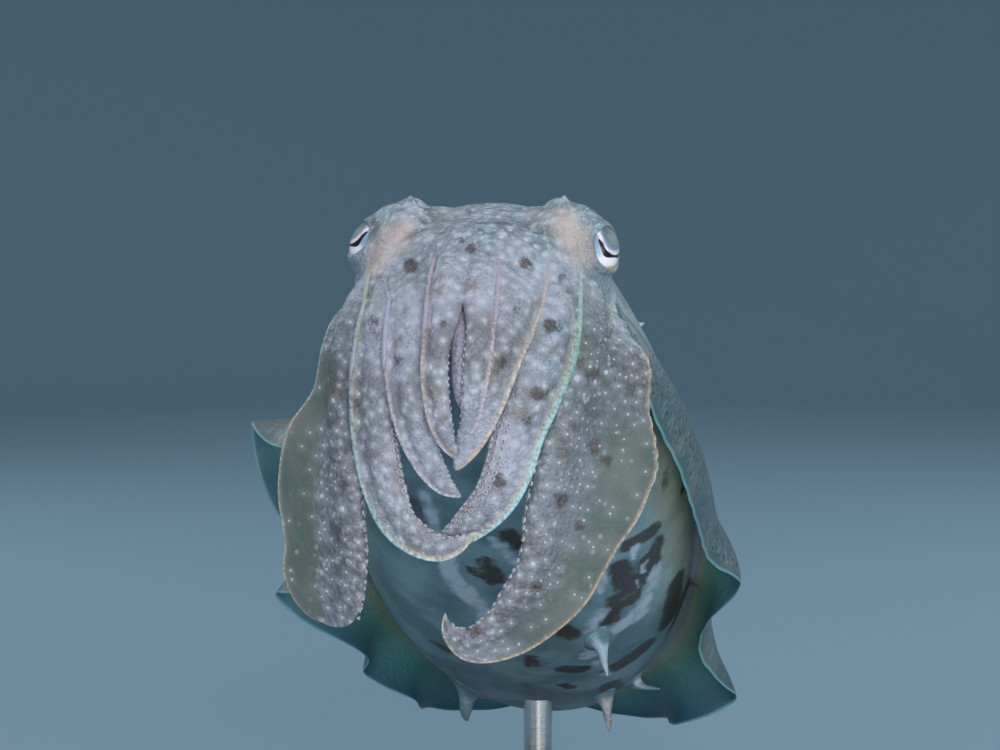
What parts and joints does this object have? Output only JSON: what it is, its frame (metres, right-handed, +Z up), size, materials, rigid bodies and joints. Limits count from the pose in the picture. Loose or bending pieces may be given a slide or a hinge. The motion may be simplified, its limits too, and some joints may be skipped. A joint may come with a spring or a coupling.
{
  "type": "broadclub cuttlefish",
  "caption": "Life-size cuttlefish model that hovers head up with its keeled arms hanging, wavy fins along an oval mantle, held over a flat base by a short rod.",
  "frame": {"origin": "middle of the underside of the stand's base", "axes": "+Z up, -Y the way the head looks, +X the animal's left side"},
  "size_m": [0.1841, 0.2994, 0.2656],
  "materials": {
    "skin": "satin, slightly moist looking skin, mottled",
    "fin": "satin, thin and slightly translucent looking",
    "eye": "wet gloss, with a dark folded pupil",
    "stand_board": "dark stained, satin",
    "stand_steel": "brushed"
  },
  "bodies": {
    "root": {"mantle": "skin", "head": "skin", "funnel": "skin", "tentacle_left": "skin", "tentacle_right": "skin", "arm_left_1_base": "skin", "arm_left_1_tip": "skin", "arm_left_2_base": "skin", "arm_left_2_tip": "skin", "arm_left_3_base": "skin", "arm_left_3_middle": "skin", "arm_left_3_tip": "skin", "arm_left_4_base": "skin", "arm_left_4_middle": "skin", "arm_left_4_tip": "skin", "arm_right_1_base": "skin", "arm_right_1_tip": "skin", "arm_right_2_base": "skin", "arm_right_2_tip": "skin", "arm_right_3_base": "skin", "arm_right_3_middle": "skin", "arm_right_3_tip": "skin", "arm_right_4_base": "skin", "arm_right_4_middle": "skin", "arm_right_4_tip": "skin", "fin_left": "fin", "fin_right": "fin", "eye_left": "eye", "eye_right": "eye", "stand_base": "stand_board", "stand_rod": "stand_steel"}
  },
  "joints": []
}
